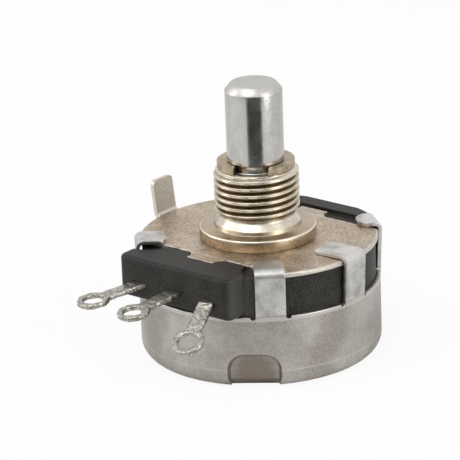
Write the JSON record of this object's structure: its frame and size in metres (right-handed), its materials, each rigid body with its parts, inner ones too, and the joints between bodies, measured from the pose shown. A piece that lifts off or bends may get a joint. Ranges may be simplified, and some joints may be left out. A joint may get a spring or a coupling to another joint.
{
  "type": "rotary potentiometer",
  "caption": "Panel-mount rotary potentiometer with a metal cover, threaded bushing, plain shaft and solder lugs; the shaft sweeps a carbon contact along a moulded element between end stops.",
  "frame": {"origin": "shaft axis at the mounting face, the top of the bushing flange", "axes": "+Z out along the shaft, -Y towards the solder terminals, -X towards the locating lug"},
  "size_m": [0.0281, 0.0348, 0.0308],
  "materials": {
    "cover_steel": "satin drawn sheet",
    "black_moulding": "moulded thermoset",
    "plate_brass": "tarnished plating",
    "bushing_brass": "tarnished plating",
    "shaft_steel": "turned",
    "ring_bronze": "plated spring metal",
    "tinned": "solder coated",
    "carbon": "moulded carbon",
    "collector_carbon": "moulded carbon",
    "brown_insulator": "laminated insulator",
    "spring_bronze": "spring metal",
    "rivet_brass": "plain",
    "stop_steel": "stamped",
    "washer_fibre": "fibre"
  },
  "bodies": {
    "housing": {"cover": "cover_steel", "moulded_body": "black_moulding", "face_plate": "plate_brass", "bushing": "bushing_brass", "terminal_left": "tinned", "terminal_center": "tinned", "terminal_right": "tinned", "resistance_track": "carbon", "collector_ring": "collector_carbon"},
    "rotor": {"shaft": "shaft_steel", "retaining_ring": "ring_bronze", "rotor_carrier": "brown_insulator", "contact_spring": "spring_bronze", "spring_rivet": "rivet_brass", "outer_brush": "carbon", "inner_brush": "carbon", "stop_plate": "stop_steel", "thrust_washer": "washer_fibre"}
  },
  "joints": [
    {"name": "shaft_turn", "type": "hinge", "parent": "housing", "child": "rotor", "pos_m": [0, 0, 0], "axis": [0, 0, 1], "range_deg": [-156, 156]}
  ]
}
